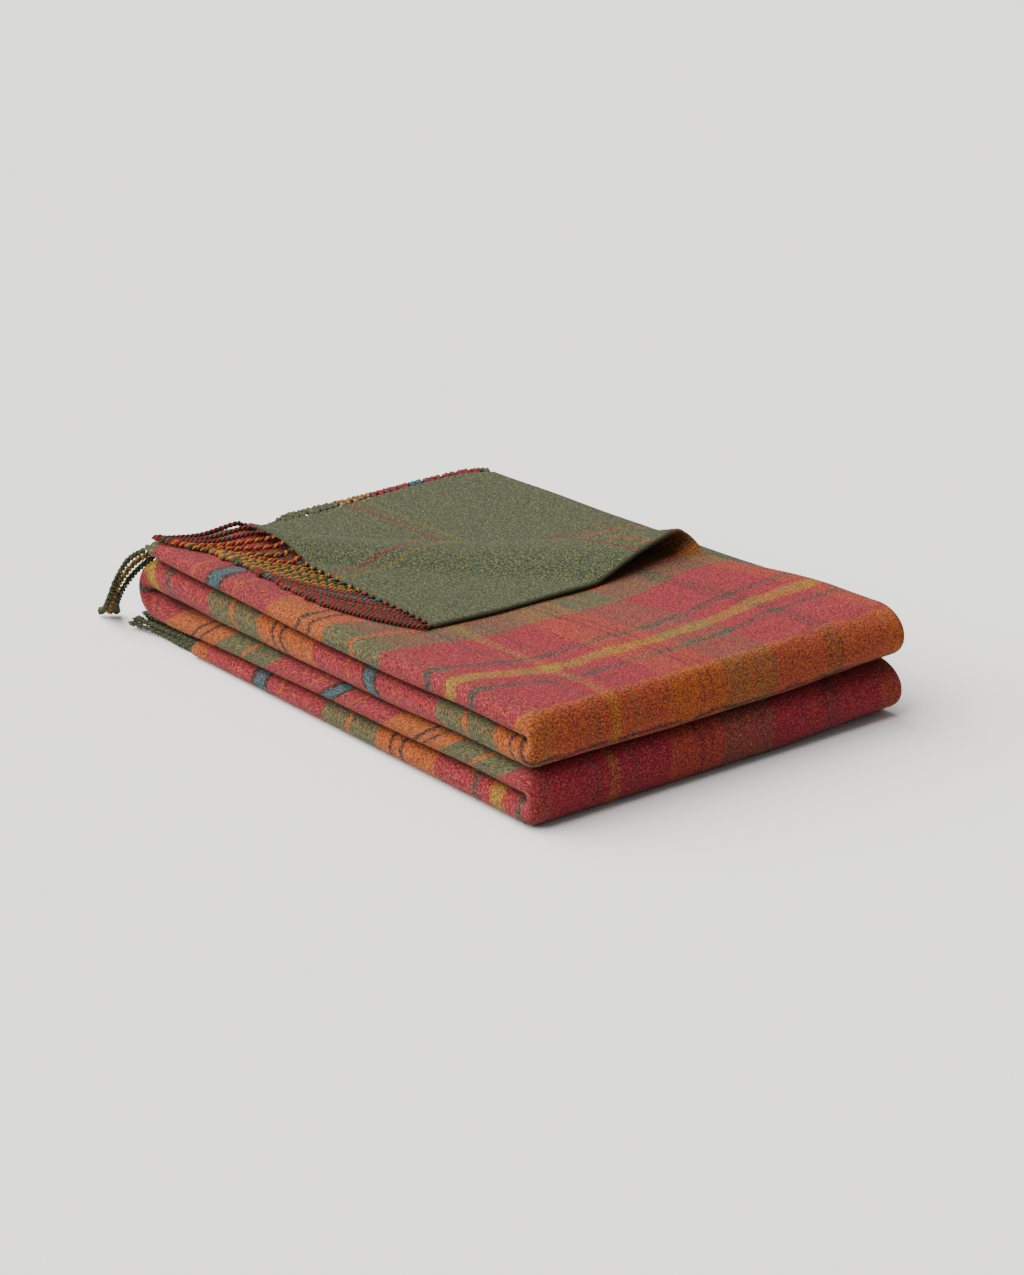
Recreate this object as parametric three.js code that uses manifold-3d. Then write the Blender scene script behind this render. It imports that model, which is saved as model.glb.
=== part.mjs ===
// A woven wool throw, folded into a flat stack: twice across its width, then three times along its
// length, with one corner of the top layer turned back. Millimetres, +Z up.
// The stack is drawn with x from its folded left side, y from its front folds and z from the surface
// it lies on, and the whole group is then moved so that the origin is the middle of its footprint.
import * as THREE from 'three';
import { mergeVertices } from 'three/addons/utils/BufferGeometryUtils.js';
import Module from 'manifold-3d';

const wasm = await Module();
wasm.setup();

// The folded stack
const STACK_WIDTH = 345; // a quarter of the throw's 1380 mm width
const FRONT_PITCH = 21; // height of one section (four layers of cloth) at the front folds
const BACK_PITCH = 18; // and at the back, where the stack is flatter
const PITCH_SPAN = 499; // the length over which the pitch changes
const SECTION_GAP = 0.6; // air between two sections
const ROLL_DEPTH = 14; // how far a fold's round end reaches into a section
const LAYER_STEPS = 6; // slices of a section along its length
const ARC_STEPS = 4; // segments in a quarter of a fold's round side

// Where each section ends at the back
const BACK_FOLD_Y = 499;
const TOP_END_INNER_Y = 484;
const TOP_END_UNDER_Y = 480;
const TOP_END_FACE_Y = 469;
const BOTTOM_END_Y = 422;

// A section's cross-section: two nested folds. Heights are parts of the section's own height.
const LAYER = 0.21;
const OUTER_FOLD = { left: 0, low: 0, right: 343, reach: 10 };
const INNER_FOLD = { left: 5.1, low: 0.26, right: 341, reach: 4.9 };

// The turned-back corner. n is measured across the crease, towards the corner's place when it lies
// flat, and h is the height above the top layer's upper face.
const CREASE_POINT = new THREE.Vector2(69, 423);
const CREASE_END = new THREE.Vector2(310, 197);
const FLAP_TIP = new THREE.Vector2(46, 179);
const CLOTH = 3.8; // thickness of the single layer in the curl and the flap
const CURL_RADIUS = 11;
const CURL_BASE = -2; // height of the layer's middle where the curl begins
const CURL_OVERLAP = 4; // how far the curl's foot reaches into the layer that it grows from
const CREASE_CUT_DEPTH = 4.42; // goes through the top layer and stops above the next one
const CURL_GAP = 0.9; // between the curl's end and the flap's start, along the arc
const FLAP_SLOPE = [[0, 20], [-30, 18.5], [-70, 14], [-120, 8.5], [-170, 4.5], [-215, 3.2]];
const FLAP_OVERSIZE = 1.14; // the flap's trimming outline passes the crease by this share

// Twisted fringe cords
const CORD_RADIUS = 1.5;
const CORD_SIDES = 8;
const CORD_STEPS = 5;
const FLAP_CORDS = 26;
const CORD_SWEEP = 60; // how far along the left side a flap cord's tip lies from its root
const CORD_REST = 2.3; // height of a lying cord's middle above the cloth
const CORNER_CORDS = [
  [[2, 487, 70], [-7, 497, 61], [-13, 506, 44], [-12, 520, 24], [-8, 535, 9], [-5, 547, 2.2]],
  [[7, 488, 66.5], [0, 500, 56], [-5, 508, 40], [-3, 519, 22], [3, 531, 8], [8, 540, 2.2]],
  [[11, 489, 62], [7, 502, 52], [4, 510, 36], [6, 520, 20], [12, 529, 7], [17, 536, 2.2]],
];

// Rows of fringe, drawn as thin curtains
const ROW_THICKNESS = 2.6;
const HANGING_ROW = { from: 24, to: 340, gap: 3.6 };
// Each point's y and z in the innermost row, and how much higher it lies in each row outside that
const HANGING_PATH = [[503, 46, 3], [503.4, 26, 3], [505, 11, 4], [512, 2, 3.6], [526, 1.7, 3.6]];
const LYING_ROW = { from: 4, to: 341, root: BOTTOM_END_Y + 0.5, tip: 500, gap: 3.4 };

const COLOURS = {
  orange: 0xc8722e,
  red: 0xb03a3c,
  crimson: 0x96303a,
  green: 0x6b7049,
  moss: 0x59603f,
};

const BOX = { left: -15, right: STACK_WIDTH - 2, front: 0, back: 548.5 };

const throwBlanket = new THREE.Group();
throwBlanket.position.set(-(BOX.left + BOX.right) / 2, -(BOX.front + BOX.back) / 2, 0);

function addPiece(name, geometry, colour) {
  const material = new THREE.MeshStandardMaterial({ color: colour, roughness: 0.95, metalness: 0 });
  const mesh = new THREE.Mesh(geometry, material);
  mesh.name = name;
  throwBlanket.add(mesh);
}

// Height of one section at a distance y from the front folds.
function pitchAt(y) {
  return FRONT_PITCH + (BACK_PITCH - FRONT_PITCH) * (y / PITCH_SPAN);
}

// The upper face of the stack.
function topSurface(y) {
  return 4 * pitchAt(y) - SECTION_GAP;
}

// Moves every vertex of a geometry through a function from one Vector3 to another.
function mapVertices(geometry, map) {
  const position = geometry.getAttribute('position');
  const point = new THREE.Vector3();
  for (let i = 0; i < position.count; i += 1) {
    point.fromBufferAttribute(position, i);
    const moved = map(point);
    position.setXYZ(i, moved.x, moved.y, moved.z);
  }
  geometry.computeVertexNormals();
  return geometry;
}

function toSolid(geometry) {
  const bare = geometry.clone();
  bare.deleteAttribute('normal');
  bare.deleteAttribute('uv');
  const merged = mergeVertices(bare, 1e-3);
  const vertProperties = new Float32Array(merged.getAttribute('position').array);
  const triVerts = new Uint32Array(merged.getIndex().array);
  return new wasm.Manifold(new wasm.Mesh({ numProp: 3, vertProperties, triVerts }));
}

function fromSolid(solid) {
  const mesh = solid.getMesh();
  const geometry = new THREE.BufferGeometry();
  geometry.setAttribute('position', new THREE.BufferAttribute(mesh.vertProperties, 3));
  geometry.setIndex(new THREE.BufferAttribute(mesh.triVerts, 1));
  geometry.computeVertexNormals();
  return geometry;
}

// Points of a half ellipse that bulges to the left, from its lower end to its upper end or back.
function leftArc(centreX, reachX, reachH, upwards) {
  const points = [];
  for (let i = 0; i <= 2 * ARC_STEPS; i += 1) {
    const angle = (Math.PI * i) / (2 * ARC_STEPS) - Math.PI / 2;
    const turn = upwards ? angle : -angle;
    points.push([centreX - reachX * Math.cos(turn), 0.5 + reachH * Math.sin(turn)]);
  }
  return points;
}

// One folded sheet seen from the end: two layers joined by a round fold on the left.
function foldOutline({ left, low, right, reach }) {
  const centreX = left + reach;
  const outerH = 0.5 - low;
  const innerH = outerH - LAYER;
  const innerReach = reach * (innerH / outerH);
  const outer = leftArc(centreX, reach, outerH, true).reverse();
  const inner = leftArc(centreX, innerReach, innerH, true);
  const points = [
    [right, 0.5 + outerH],
    ...outer,
    [right, 0.5 - outerH],
    [right, 0.5 - innerH],
    ...inner,
    [right, 0.5 + innerH],
  ];
  return new THREE.Shape(points.map(([x, h]) => new THREE.Vector2(x, h)));
}

// How far a round fold end is drawn in at a distance from the plane where two sections meet.
function rollInset(distance) {
  return ROLL_DEPTH * (1 - Math.sqrt(Math.max(0, 1 - distance ** 2)));
}

// A section is one quarter of the throw's length. level counts from the bottom, and ends gives the y
// of its front and back ends at each height h.
function sectionSheet(fold, level, ends) {
  const geometry = new THREE.ExtrudeGeometry(foldOutline(fold), {
    depth: 1,
    steps: LAYER_STEPS,
    bevelEnabled: false,
  });
  return mapVertices(geometry, ({ x, y: h, z }) => {
    const front = ends.front(h);
    const back = ends.back(h);
    const y = front + (back - front) * (1 - z);
    const height = pitchAt(y);
    return new THREE.Vector3(x, y, level * height + h * (height - SECTION_GAP));
  });
}

const frontRollAbove = (h) => rollInset(h);
const frontRollBelow = (h) => rollInset(1 - h);
const backRollAbove = (h) => BACK_FOLD_Y - rollInset(h);
const backRollBelow = (h) => BACK_FOLD_Y - rollInset(1 - h);

const SECTIONS = [
  {
    name: 'bottom_section',
    colours: [COLOURS.crimson, COLOURS.moss],
    outerEnds: { front: frontRollBelow, back: () => BOTTOM_END_Y },
    innerEnds: { front: frontRollBelow, back: () => BOTTOM_END_Y },
  },
  {
    name: 'lower_middle',
    colours: [COLOURS.red, COLOURS.green],
    outerEnds: { front: frontRollAbove, back: backRollBelow },
    innerEnds: { front: frontRollAbove, back: backRollBelow },
  },
  {
    name: 'upper_middle',
    colours: [COLOURS.crimson, COLOURS.moss],
    outerEnds: { front: frontRollBelow, back: backRollAbove },
    innerEnds: { front: frontRollBelow, back: backRollAbove },
  },
  {
    name: 'top_section',
    colours: [COLOURS.orange, COLOURS.green],
    outerEnds: {
      front: frontRollAbove,
      back: (h) => TOP_END_UNDER_Y + (TOP_END_FACE_Y - TOP_END_UNDER_Y) * h,
    },
    innerEnds: { front: frontRollAbove, back: () => TOP_END_INNER_Y },
  },
];

// Directions along and across the crease.
const along = new THREE.Vector2().subVectors(CREASE_END, CREASE_POINT).normalize();
const across = new THREE.Vector2(-along.y, along.x);

function distanceAcross(point) {
  return new THREE.Vector2().subVectors(point, CREASE_POINT).dot(across);
}

// Turns an outline in (n, h) into a solid that runs along the crease from one s to another.
function alongCrease(outline, from, to) {
  const shape = new THREE.Shape(outline.map(([n, h]) => new THREE.Vector2(n, h)));
  const geometry = new THREE.ExtrudeGeometry(shape, { depth: to - from, steps: 1, bevelEnabled: false });
  return mapVertices(geometry, ({ x: n, y: h, z }) => {
    const s = from + z;
    const x = CREASE_POINT.x + s * along.x + n * across.x;
    const y = CREASE_POINT.y + s * along.y + n * across.y;
    return new THREE.Vector3(x, y, topSurface(y) + h);
  });
}

// The two faces of a thin ribbon that follows a path, as one closed outline.
function ribbonOutline(path, thickness) {
  const points = path.map(([a, b]) => new THREE.Vector2(a, b));
  const upper = [];
  const lower = [];
  points.forEach((point, i) => {
    const before = points[Math.max(0, i - 1)];
    const after = points[Math.min(points.length - 1, i + 1)];
    const side = new THREE.Vector2(before.y - after.y, after.x - before.x).setLength(thickness / 2);
    upper.push([point.x + side.x, point.y + side.y]);
    lower.push([point.x - side.x, point.y - side.y]);
  });
  return [...lower, ...upper.reverse()];
}

// Middle line of the curl from a start angle to an end angle. 0 is its lowest point, where the layer
// lies flat, and 180 degrees is the crest, where the turned-back corner lies flat again.
function curlArc(fromDegrees, toDegrees) {
  const arc = [];
  for (let i = 0; i <= 2 * ARC_STEPS; i += 1) {
    const degrees = fromDegrees + ((toDegrees - fromDegrees) * i) / (2 * ARC_STEPS);
    const angle = THREE.MathUtils.degToRad(degrees);
    arc.push([CURL_RADIUS * Math.sin(angle), CURL_BASE + CURL_RADIUS * (1 - Math.cos(angle))]);
  }
  return arc;
}

const creaseLength = CREASE_POINT.distanceTo(CREASE_END);

// The top section's outer fold with its far corner cut away and curling up along the crease.
function outerFoldWithCurl(geometry) {
  const reach = 2 * STACK_WIDTH;
  const cut = alongCrease(
    [[0, -CREASE_CUT_DEPTH], [reach, -CREASE_CUT_DEPTH], [reach, CLOTH], [0, CLOTH]],
    -reach,
    reach,
  );
  const foot = [[-CURL_OVERLAP, CURL_BASE]];
  const curl = alongCrease(ribbonOutline([...foot, ...curlArc(0, 90)], CLOTH), -40, creaseLength + 10);
  return fromSolid(toSolid(geometry).subtract(toSolid(cut)).add(toSolid(curl)));
}

// The turned-back corner: it starts at the outermost line of the curl, passes over the crest and
// slopes down to its tip.
function flapGeometry() {
  const gapDegrees = THREE.MathUtils.radToDeg(CURL_GAP / CURL_RADIUS);
  const path = [...curlArc(90 + gapDegrees, 180), ...FLAP_SLOPE.slice(1)];
  const sheet = alongCrease(ribbonOutline(path.reverse(), CLOTH), -200, creaseLength + 200);
  const corners = [FLAP_TIP, CREASE_END, CREASE_POINT].map((point) => (
    new THREE.Vector2().subVectors(point, FLAP_TIP).multiplyScalar(FLAP_OVERSIZE).add(FLAP_TIP)
  ));
  const prism = new THREE.ExtrudeGeometry(new THREE.Shape(corners), {
    depth: 2 * FRONT_PITCH * 4,
    bevelEnabled: false,
  });
  return fromSolid(toSolid(sheet).intersect(toSolid(prism)));
}

// Height of the flap's middle above the top layer, on a line across the crease.
function flapHeight(n) {
  const next = FLAP_SLOPE.findIndex(([edge]) => edge <= n);
  if (next <= 0) return FLAP_SLOPE[0][1];
  const [n0, h0] = FLAP_SLOPE[next - 1];
  const [n1, h1] = FLAP_SLOPE[next];
  return h0 + ((n - n0) / (n1 - n0)) * (h1 - h0);
}

function cordGeometry(points) {
  const section = new THREE.Shape();
  for (let i = 0; i < CORD_SIDES; i += 1) {
    const angle = (2 * Math.PI * i) / CORD_SIDES;
    const corner = [CORD_RADIUS * Math.cos(angle), CORD_RADIUS * Math.sin(angle)];
    if (i === 0) section.moveTo(...corner);
    else section.lineTo(...corner);
  }
  section.closePath();
  return new THREE.ExtrudeGeometry(section, {
    steps: CORD_STEPS,
    extrudePath: new THREE.CatmullRomCurve3(points),
    bevelEnabled: false,
  });
}

// Cord number i of the flap's fringe, swept towards the back-left corner of the stack.
function flapCord(i) {
  const share = (i + 0.7) / (FLAP_CORDS + 0.4);
  const root = new THREE.Vector2().lerpVectors(FLAP_TIP, CREASE_POINT, share);
  const height = flapHeight(distanceAcross(root));
  const rows = [
    [root.x - 1.2, root.y + 0.5, height],
    [root.x * 0.72, root.y + CORD_SWEEP * 0.28, height * 0.7 + CORD_REST * 0.3],
    [root.x * 0.4, root.y + CORD_SWEEP * 0.62, height * 0.1 + CORD_REST * 0.9],
    [5, root.y + CORD_SWEEP, CORD_REST],
  ];
  return cordGeometry(rows.map(([x, y, h]) => new THREE.Vector3(x, y, topSurface(y) + h)));
}

// A curtain of fringe: a thin ribbon in (y, z) drawn out along x.
function fringeRow(path, from, to) {
  const outline = ribbonOutline(path, ROW_THICKNESS);
  const shape = new THREE.Shape(outline.map(([y, z]) => new THREE.Vector2(y, z)));
  const geometry = new THREE.ExtrudeGeometry(shape, { depth: to - from, steps: 1, bevelEnabled: false });
  return mapVertices(geometry, ({ x, y, z }) => new THREE.Vector3(from + z, x, y));
}

// Middle height of layer number k of a section at its back end. 0 is the lowest layer.
function layerHeight(level, k, y) {
  const middles = [LAYER / 2, INNER_FOLD.low + LAYER / 2, 0.5 + LAYER / 2 + 0.03, 1 - LAYER / 2];
  return level * pitchAt(y) + middles[k] * (pitchAt(y) - SECTION_GAP);
}

// Row k of the top end's fringe hangs down behind the back fold. Each row lies outside the last.
function hangingRow(k) {
  const root = [TOP_END_INNER_Y + 0.5, layerHeight(3, k, TOP_END_INNER_Y)];
  const shoulder = [497 + 0.4 * k, root[1] - 3];
  const fall = HANGING_PATH.map(([y, z, rise]) => [y + HANGING_ROW.gap * k, z + rise * k]);
  return fringeRow([root, shoulder, ...fall], HANGING_ROW.from, HANGING_ROW.to);
}

// Row k of the bottom end's fringe lies on the floor behind the bottom section.
function lyingRow(k) {
  const path = [
    [LYING_ROW.root, layerHeight(0, k, BOTTOM_END_Y)],
    [LYING_ROW.root + 25, ROW_THICKNESS / 2 + 0.3 + LYING_ROW.gap * k],
    [LYING_ROW.tip, ROW_THICKNESS / 2 + 0.3 + LYING_ROW.gap * k],
  ];
  return fringeRow(path, LYING_ROW.from, LYING_ROW.to);
}

SECTIONS.forEach(({ name, colours, outerEnds, innerEnds }, level) => {
  const outer = sectionSheet(OUTER_FOLD, level, outerEnds);
  const isTop = level === SECTIONS.length - 1;
  addPiece(`${name}_outer_fold`, isTop ? outerFoldWithCurl(outer) : outer, colours[0]);
  addPiece(`${name}_inner_fold`, sectionSheet(INNER_FOLD, level, innerEnds), colours[1]);
});

addPiece('corner_flap', flapGeometry(), COLOURS.green);

for (let i = 0; i < FLAP_CORDS; i += 1) {
  const number = String(i + 1).padStart(2, '0');
  addPiece(`flap_fringe_cord_${number}`, flapCord(i), i % 2 ? COLOURS.crimson : COLOURS.moss);
}

CORNER_CORDS.forEach((points, i) => {
  const path = points.map((point) => new THREE.Vector3(...point));
  addPiece(`corner_fringe_cord_${i + 1}`, cordGeometry(path), COLOURS.moss);
});

for (let k = 0; k < 3; k += 1) {
  addPiece(`top_end_fringe_row_${k + 1}`, hangingRow(k), COLOURS.crimson);
}

for (let k = 0; k < 4; k += 1) {
  addPiece(`bottom_end_fringe_row_${k + 1}`, lyingRow(k), COLOURS.moss);
}

export default throwBlanket;
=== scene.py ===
import math

import bmesh
import bpy
import numpy as np
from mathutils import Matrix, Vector


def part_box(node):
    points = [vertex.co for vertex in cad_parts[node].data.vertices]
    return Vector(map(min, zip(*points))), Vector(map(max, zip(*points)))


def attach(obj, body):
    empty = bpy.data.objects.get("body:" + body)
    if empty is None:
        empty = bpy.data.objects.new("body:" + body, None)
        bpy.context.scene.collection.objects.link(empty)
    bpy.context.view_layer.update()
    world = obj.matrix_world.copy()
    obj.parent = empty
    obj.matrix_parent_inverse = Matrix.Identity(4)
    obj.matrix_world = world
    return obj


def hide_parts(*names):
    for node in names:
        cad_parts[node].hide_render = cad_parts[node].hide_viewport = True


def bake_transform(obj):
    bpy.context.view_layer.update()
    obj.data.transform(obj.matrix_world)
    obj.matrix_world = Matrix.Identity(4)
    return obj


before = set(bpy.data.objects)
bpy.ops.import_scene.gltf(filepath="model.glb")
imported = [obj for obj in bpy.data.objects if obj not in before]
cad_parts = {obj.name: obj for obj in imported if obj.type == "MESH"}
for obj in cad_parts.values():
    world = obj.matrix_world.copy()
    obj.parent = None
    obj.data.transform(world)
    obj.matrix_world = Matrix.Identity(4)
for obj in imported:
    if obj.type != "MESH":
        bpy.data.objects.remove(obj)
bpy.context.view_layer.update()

STACK_CORNER = np.array(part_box("bottom_section_outer_fold")[0])
STACK_CORNER[2] = 0.0
SEED = 20261118

# Camera
LENS = 89.84
SENSOR = 36.0
CAMERA_PITCH = 20.533
CAMERA_HEADING = 38.039
CAMERA_PLACE = (-1209.0, -1522.1, 869.8)

# The stack
WIDTH = 1380.0
FRONT_PITCH, BACK_PITCH, PITCH_SPAN = 21.0, 18.0, 499.0
CLOTH = 3.8
LAYER_A, LAYER_D, LAYER_C, LAYER_B = 0.875, 0.640, 0.395, 0.150
SELVEDGE_X = 343.5
ROLL_SEAM = 40.0
BACK_SEAM = 474.0
BACK_FOLD_Y = 499.0
BOTTOM_END_Y = 422.0

# The turned-back corner: a curl along a crease, and the corner lying over it
CREASE_POINT = np.array([69.0, 423.0])
CREASE_ANGLE = math.radians(45.69)
ACROSS = np.array([math.cos(CREASE_ANGLE), math.sin(CREASE_ANGLE)])
ALONG = np.array([math.sin(CREASE_ANGLE), -math.cos(CREASE_ANGLE)])
CREASE_SHIFT = 9.05
CREASE_SPAN = 340.0
CURL_START, CURL_MIDDLE, CURL_END = 7.0, 3.95, 11.9
FLAP_LENGTH, FLAP_LENGTHENING = 52.9, 0.63
FLAP_REST, FLAP_POWER, FLAP_BULGE = 3.95, 1.12, 6.4
FLAP_SHEAR, FLAP_SHEAR_2 = 0.277, -14.5
CORNER_X, CORNER_Y = 323.0, 461.5
# The crease's strip of cloth reaches this far past the curl on each side
CREASE_MARGIN = 1.5

# Tartan: the repeat across the width and along the length, and where it starts
WEFT_UNIT, WARP_UNIT = 296.1, 206.6
WARP_START = 2.34
# Slant of the weft across the lower front roll
LOWER_SKEW = 14.0
# Where the middle of each red band lies down the left side: the section, counted from the bottom, and y
WEFT_PLACES = [(3, 389.0), (3, 92.0), (2, 184.0), (2, 484.0), (1, 237.5), (0, 40.0), (0, 327.0)]


def place(points):
    """Millimetres from the stack's front left corner to the frame's metres."""
    return np.asarray(points, float) / 1000.0 + STACK_CORNER


def smooth(low, high, x):
    t = np.clip((np.asarray(x, float) - low) / (high - low), 0.0, 1.0)
    return t * t * (3.0 - 2.0 * t)


def pitch(y):
    return FRONT_PITCH + (BACK_PITCH - FRONT_PITCH) * np.asarray(y, float) / PITCH_SPAN


# ---------------------------------------------------------------- camera, light and floor

FLOOR_REACH = 40.0
FLOOR_COLOUR = (0.74, 0.735, 0.728, 1.0)
SKY_COLOUR, SKY_STRENGTH = (1.0, 0.995, 0.985, 1.0), 0.33
KEY_TOWARDS, KEY_STRENGTH, KEY_SPREAD, KEY_COLOUR = (-0.50, 0.38, 0.79), 9.7, 80.0, (1.0, 0.985, 0.96)


def make_camera():
    data = bpy.data.cameras.new("camera")
    data.sensor_fit = "VERTICAL"
    data.sensor_height = SENSOR
    data.sensor_width = SENSOR
    data.lens = LENS
    data.clip_start, data.clip_end = 0.05, 60.0
    camera = bpy.data.objects.new("camera", data)
    camera.location = place(CAMERA_PLACE)
    camera.rotation_euler = (math.radians(90.0 - CAMERA_PITCH), 0.0, math.radians(-CAMERA_HEADING))
    bpy.context.scene.collection.objects.link(camera)
    bpy.context.scene.camera = camera


def sun_light(name, towards, strength, spread, colour):
    data = bpy.data.lights.new(name, "SUN")
    data.energy = strength
    data.angle = math.radians(spread)
    data.color = colour
    light = bpy.data.objects.new(name, data)
    light.rotation_euler = Vector(towards).to_track_quat("Z", "Y").to_euler()
    bpy.context.scene.collection.objects.link(light)


def make_stage():
    mesh = bpy.data.meshes.new("floor")
    corners = [(x * FLOOR_REACH, y * FLOOR_REACH, 0.0) for x, y in ((-1, -1), (1, -1), (1, 1), (-1, 1))]
    mesh.from_pydata(corners, [], [(0, 1, 2, 3)])
    floor = bpy.data.objects.new("floor", mesh)
    bpy.context.scene.collection.objects.link(floor)
    material = bpy.data.materials.new("floor_paper")
    material.use_nodes = True
    shader = material.node_tree.nodes["Principled BSDF"]
    shader.inputs["Base Color"].default_value = FLOOR_COLOUR
    shader.inputs["Roughness"].default_value = 0.95
    shader.inputs["Specular IOR Level"].default_value = 0.1
    mesh.materials.append(material)
    world = bpy.data.worlds.new("studio")
    world.use_nodes = True
    sky = world.node_tree.nodes["Background"]
    sky.inputs["Color"].default_value = SKY_COLOUR
    sky.inputs["Strength"].default_value = SKY_STRENGTH
    bpy.context.scene.world = world
    sun_light("key", KEY_TOWARDS, KEY_STRENGTH, KEY_SPREAD, KEY_COLOUR)


make_camera()
make_stage()


# ---------------------------------------------------------------- materials

def srgb(r, g, b):
    def linear(c):
        c /= 255.0
        return c / 12.92 if c <= 0.04045 else ((c + 0.055) / 1.055) ** 2.4
    return (linear(r), linear(g), linear(b), 1.0)


RED = srgb(116, 16, 34)
ORANGE = srgb(134, 62, 8)
GREEN = srgb(56, 68, 40)
YELLOW = srgb(118, 92, 18)
TEAL = srgb(0, 68, 80)
DUSK = srgb(26, 34, 30)
DARK = srgb(20, 18, 12)
MIST = srgb(38, 42, 38)
SAGE = srgb(43, 52, 35)


class Nodes:
    """Short names for the shader nodes that the materials are built from."""

    def __init__(self, name):
        self.material = bpy.data.materials.new(name)
        self.material.use_nodes = True
        self.tree = self.material.node_tree
        self.shader = self.tree.nodes["Principled BSDF"]

    def put(self, socket, value):
        if isinstance(value, bpy.types.NodeSocket):
            self.tree.links.new(value, socket)
        else:
            socket.default_value = value

    def math(self, operation, a, b=0.0, clamp=False):
        node = self.tree.nodes.new("ShaderNodeMath")
        node.operation = operation
        node.use_clamp = clamp
        self.put(node.inputs[0], a)
        self.put(node.inputs[1], b)
        return node.outputs[0]

    def attribute(self, name):
        node = self.tree.nodes.new("ShaderNodeAttribute")
        node.attribute_name = name
        return node.outputs["Vector"]

    def split(self, vector):
        node = self.tree.nodes.new("ShaderNodeSeparateXYZ")
        self.put(node.inputs[0], vector)
        return node.outputs

    def scaled(self, vector, scale):
        node = self.tree.nodes.new("ShaderNodeVectorMath")
        node.operation = "MULTIPLY"
        self.put(node.inputs[0], vector)
        node.inputs[1].default_value = scale
        return node.outputs[0]

    def noise(self, vector, scale, detail=2.0, roughness=0.6):
        node = self.tree.nodes.new("ShaderNodeTexNoise")
        self.put(node.inputs["Vector"], vector)
        node.inputs["Scale"].default_value = scale
        node.inputs["Detail"].default_value = detail
        node.inputs["Roughness"].default_value = roughness
        return node.outputs["Fac"]

    def ramp(self, factor, stops, interpolation="LINEAR"):
        node = self.tree.nodes.new("ShaderNodeValToRGB")
        node.color_ramp.interpolation = interpolation
        elements = node.color_ramp.elements
        while len(elements) > 1:
            elements.remove(elements[-1])
        elements[0].position, elements[0].color = stops[0]
        for position, colour in stops[1:]:
            elements.new(position).color = colour
        self.put(node.inputs[0], factor)
        return node.outputs

    def mix(self, factor, a, b, blend="MIX"):
        node = self.tree.nodes.new("ShaderNodeMix")
        node.data_type = "RGBA"
        node.blend_type = blend
        self.put(node.inputs[0], factor)
        self.put(node.inputs[6], a)
        self.put(node.inputs[7], b)
        return node.outputs[2]

    def bump(self, height, strength, distance, normal=None):
        node = self.tree.nodes.new("ShaderNodeBump")
        self.put(node.inputs["Height"], height)
        node.inputs["Strength"].default_value = strength
        node.inputs["Distance"].default_value = distance
        if normal is not None:
            self.put(node.inputs["Normal"], normal)
        return node.outputs[0]


# Bands and lines of the tartan in parts of its unit. Both halves of the repeat share the bands, and
# the middle of the red band has a teal stripe in one half and a yellow one in the other.
BANDS = [
    (0.0, RED), (0.25, ORANGE), (0.378, DARK), (0.392, ORANGE), (0.418, DARK), (0.432, ORANGE),
    (0.49, GREEN), (0.602, ORANGE), (0.62, GREEN), (0.726, RED),
]
STRIPES = [
    (0.0, TEAL), (0.023, DARK), (0.036, None), (0.086, ORANGE), (0.1, None),
    (0.906, MIST), (0.923, None), (0.973, ORANGE), (0.983, YELLOW), (1.017, ORANGE), (1.027, None),
    (1.077, MIST), (1.094, None), (1.9, ORANGE), (1.914, None), (1.964, DARK), (1.977, TEAL),
]


def tartan_colour(n, unit, teal):
    """Colour of one set of yarns at a place given in units of the tartan."""
    bands = n.ramp(n.math("FRACT", unit), BANDS, "CONSTANT")[0]
    half = n.math("FRACT", n.math("MULTIPLY", unit, 0.5))
    clear = (0.0, 0.0, 0.0, 0.0)
    colours = {TEAL: teal, None: clear}
    stripes = n.ramp(half, [(at / 2.0, colours.get(colour, colour)) for at, colour in STRIPES], "CONSTANT")
    return n.mix(stripes[1], bands, stripes[0])


def contrast(n, factor, low, high):
    """Spreads the middle of a noise over 0 to 1."""
    node = n.tree.nodes.new("ShaderNodeMapRange")
    n.put(node.inputs[0], factor)
    node.inputs[1].default_value = low
    node.inputs[2].default_value = high
    return node.outputs[0]


# How fine each part of the wool's grain is, in cells a metre, and the pitch of its twill in metres
FLECK_PLACES, FLECK_KINDS, TONE_GRAIN, CLOUD_GRAIN = 480.0, 560.0, 640.0, 120.0
NAP_GRAIN, CLUMP_GRAIN, JITTER_GRAIN, WANDER_GRAIN = 1300.0, 330.0, 700.0, 40.0
CROSSING_GRAIN, REVERSE_GRAIN = 620.0, 380.0
TWILL_PITCH = 0.0021


def wool_flecks(n, vector, colour, flecks, amount):
    """Adds the odd fibres of other colours that make a heather yarn, and a cloudy tone."""
    along = n.scaled(vector, (0.9, 1.0, 1.0))
    where = contrast(n, n.noise(along, FLECK_PLACES, 2.0, 0.6), 0.47, 0.56)
    kind = contrast(n, n.noise(along, FLECK_KINDS, 1.0, 0.5), 0.38, 0.62)
    fleck = n.ramp(kind, flecks)[0]
    mixed = n.mix(n.math("MULTIPLY", where, amount), colour, fleck)
    tone = contrast(n, n.noise(along, TONE_GRAIN, 2.0, 0.6), 0.36, 0.64)
    clouds = contrast(n, n.noise(vector, CLOUD_GRAIN, 3.0, 0.7), 0.3, 0.7)
    light = n.math("ADD", n.math("MULTIPLY", tone, 1.15), n.math("MULTIPLY", clouds, 0.4))
    light = n.math("ADD", light, 0.22)
    grey = n.tree.nodes.new("ShaderNodeCombineColor")
    for socket in grey.inputs:
        n.put(socket, light)
    return n.mix(1.0, mixed, grey.outputs[0], "MULTIPLY")


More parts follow.
